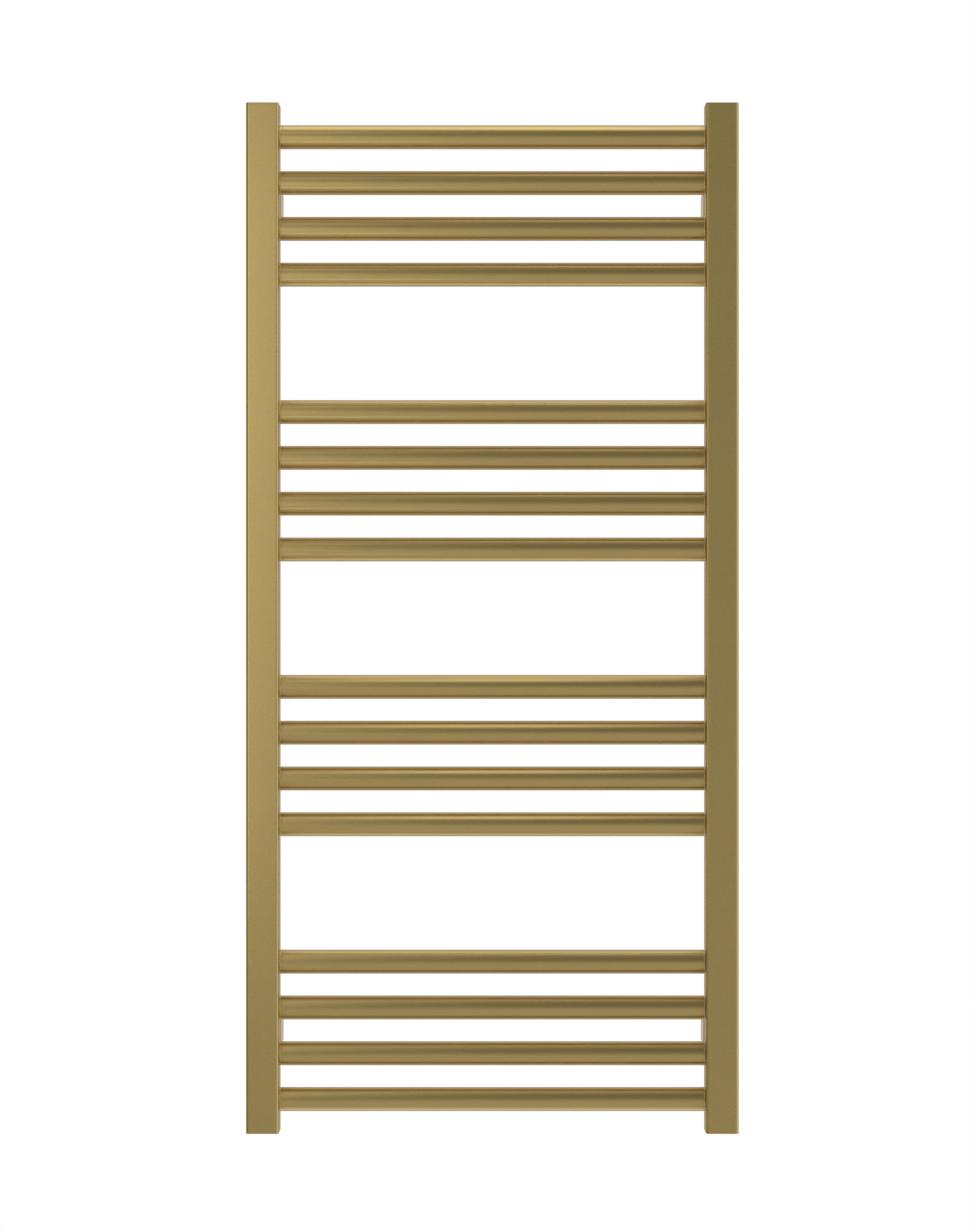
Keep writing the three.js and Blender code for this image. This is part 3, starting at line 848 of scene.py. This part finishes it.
for side_name in SIDES:
    add_collector(side_name)
    add_end_caps(side_name)
    add_inlet_socket(side_name)
for bar_index in range(1, BAR_COUNT + 1):
    add_bar(bar_index)
for level_name in LEVELS:
    for side_name in SIDES:
        corner_name = f"{level_name}_{side_name}"
        add_sleeve(corner_name)
        add_spigot(corner_name)
        add_spigot_screw(corner_name)
        add_set_screw(corner_name)
        add_boss(corner_name)
for plug_name in ("vent", "blanking"):
    add_plug(plug_name)
    add_washer(plug_name)
add_vent_spindle()


# ---- Studio ---------------------------------------------------------------------------------

def add_floor():
    """A pale round floor, far below the hanging rail and out of the camera's view.

    The camera sees it a little paler than the metal does, in the views that show it.
    """
    radius, drop, thickness = 12.0, 3.0, 0.02
    paler = 0.32
    top = cad_box[0].z - drop
    outline = circle(radius, ROUND_STEPS)
    floor = loft("floor", [ring("z", outline, top - thickness), ring("z", outline, top)])
    nodes = Nodes(bpy.data.materials.new("pale_floor"))
    place = nodes.add("ShaderNodeTexCoord").outputs["Object"]
    cloud = nodes.noise(place, scale=3.0, detail=4.0)
    nodes.feed(
        nodes.shader.inputs["Base Color"],
        nodes.blend(nodes.remap(cloud, 0.0, 1.0), (0.90, 0.90, 0.895, 1), (0.87, 0.87, 0.87, 1)))
    nodes.shader.inputs["Roughness"].default_value = 0.7
    nodes.shader.inputs["Emission Color"].default_value = (1, 1, 1, 1)
    camera_ray = nodes.add("ShaderNodeLightPath").outputs["Is Camera Ray"]
    added = nodes.remap(camera_ray, 0.0, paler, from_low=0.0, from_high=1.0)
    nodes.feed(nodes.shader.inputs["Emission Strength"], added)
    floor.data.materials.append(nodes.owner)
    floor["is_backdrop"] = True


# Brightness of the studio by the angle in degrees, where 0 is straight in front, 90 overhead, 180
# behind and -90 below. The front fades to STUDIO_LEFT and STUDIO_RIGHT at its sides. A colour ramp
# holds no more than 1, so all of them are divided by STUDIO_PEAK, and the strength puts it back.
STUDIO_BANDS = (
    (-180, 0.62), (-150, 0.70), (-125, 1.15), (-110, 1.35), (-92, 0.98), (-75, 0.74),
    (-50, 0.60), (-30, 0.55), (-10, 0.44), (10, 0.23), (35, 0.17), (60, 0.23), (75, 0.40),
    (90, 0.80), (105, 1.30), (118, 0.72), (135, 0.58), (180, 0.62))
STUDIO_LEFT = 0.20
STUDIO_RIGHT = 0.75
STUDIO_PEAK = 1.4


def add_world():
    """A studio that the camera sees as white and the metal sees as soft level bands.

    In front it fades to one brightness on the left and to another on the right.
    """
    world = bpy.data.worlds.new("studio")
    bpy.context.scene.world = world
    nodes = Nodes(world)
    nodes.tree.nodes.clear()
    direction = nodes.add("ShaderNodeTexCoord").outputs["Generated"]
    wide, deep, up = nodes.add("ShaderNodeSeparateXYZ", {"Vector": direction}).outputs
    angle = nodes.math("ARCTAN2", up, nodes.math("MULTIPLY", deep, -1.0))
    turn = nodes.remap(angle, 0.0, 1.0, from_low=-math.pi, from_high=math.pi)
    bands = nodes.add("ShaderNodeValToRGB", {"Fac": turn})
    ramp = bands.color_ramp
    while len(ramp.elements) < len(STUDIO_BANDS):
        ramp.elements.new(0.5)
    for element, (degrees, level) in zip(ramp.elements, STUDIO_BANDS):
        element.position = degrees / 360 + 0.5
        element.color = (*[level / STUDIO_PEAK] * 3, 1)
    seen = bands.outputs["Color"]
    in_front = nodes.remap(deep, 1.0, 0.0, from_low=0.1, from_high=0.5)
    for level, near, far in ((STUDIO_LEFT, -0.25, -0.60), (STUDIO_RIGHT, 0.25, 0.60)):
        sideways = nodes.remap(wide, 0.0, 1.0, from_low=near, from_high=far)
        side = nodes.math("MULTIPLY", in_front, sideways)
        seen = nodes.blend(side, seen, (*[level / STUDIO_PEAK] * 3, 1))
    camera_ray = nodes.add("ShaderNodeLightPath").outputs["Is Camera Ray"]
    shown = nodes.blend(camera_ray, seen, (1, 1, 1, 1))
    strength = nodes.remap(camera_ray, STUDIO_PEAK, 1.0, from_low=0.0, from_high=1.0)
    background = nodes.add("ShaderNodeBackground", {"Color": shown, "Strength": strength})
    nodes.add("ShaderNodeOutputWorld", {"Surface": background.outputs[0]})


def add_softbox(name, place, target, size, power, roll=0, spread=180, only_on=()):
    """A rectangular area light that the camera doesn't see, narrowed by a grid of that spread.

    Roll and spread are in degrees. Where only_on names CAD nodes, it lights their pieces alone.
    """
    light = bpy.data.lights.new(name, "AREA")
    light.shape = "RECTANGLE"
    light.size, light.size_y = size
    light.energy = power
    light.spread = math.radians(spread)
    lamp = bpy.data.objects.new(name, light)
    lamp.location = place
    lamp.rotation_mode = "QUATERNION"
    aim = (Vector(target) - Vector(place)).to_track_quat("-Z", "Y")
    lamp.rotation_quaternion = aim @ Quaternion((0, 0, 1), math.radians(roll))
    lamp.visible_camera = False
    bpy.context.scene.collection.objects.link(lamp)
    if only_on:
        lit = bpy.data.collections.new(name + "_lights")
        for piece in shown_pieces():
            if piece.name.startswith(only_on):
                lit.objects.link(piece)
        lamp.light_linking.receiver_collection = lit


def add_camera():
    """A long lens square to the rail, almost level with its middle, and a frame a fifth taller."""
    distance = 4.28
    framed_height = 1.1228
    sensor = 36.0
    left_of_middle = 0.0049
    above_middle = 0.0029
    camera = bpy.data.cameras.new("camera")
    camera.sensor_width = sensor
    camera.lens = sensor * distance / framed_height
    viewer = bpy.data.objects.new("camera", camera)
    viewer.location = (-left_of_middle, cad_box[0].y - distance, above_middle)
    viewer.rotation_euler = (math.pi / 2, 0, 0)
    bpy.context.scene.collection.objects.link(viewer)
    bpy.context.scene.camera = viewer


bpy.context.scene.view_settings.view_transform = "Standard"
add_floor()
add_world()
add_softbox(
    "left_softbox", place=(-0.50, -1.0, 0.135), target=(-0.22, -0.1, 0.135),
    size=(0.5, 0.9), power=0.95, roll=-8)
add_softbox(
    "upper_left_softbox", place=(-0.44, -0.95, 0.98), target=(-0.22, -0.1, 0.40),
    size=(0.5, 0.85), power=0.75, roll=-8)
add_softbox(
    "low_left_softbox", place=(-0.243, -0.856, -0.541), target=(-0.19, -0.085, 0.378),
    size=(0.3, 0.4), power=0.0046, spread=16)
add_softbox(
    "top_softbox", place=(0.11, -0.32, 1.60), target=(0.11, -0.10, 0.0),
    size=(0.26, 0.34), power=0.17)
add_softbox(
    "under_softbox", place=(0.0, 1.15, -3.3), target=(0.0, 1.15, 0.0),
    size=(3.0, 1.95), power=8.5)
add_softbox(
    "centre_softbox", place=(0.0, -0.42, 0.58), target=(0.0, -0.085, -0.145),
    size=(0.25, 0.5), power=0.018, spread=40, only_on=("bar_09", "bar_10", "bar_11", "bar_12"))
add_softbox(
    "first_bar_softbox", place=(0.0, -0.19, 1.24), target=(0.0, -0.085, 0.449),
    size=(0.9, 0.5), power=0.62, only_on=("bar_01",))
add_camera()
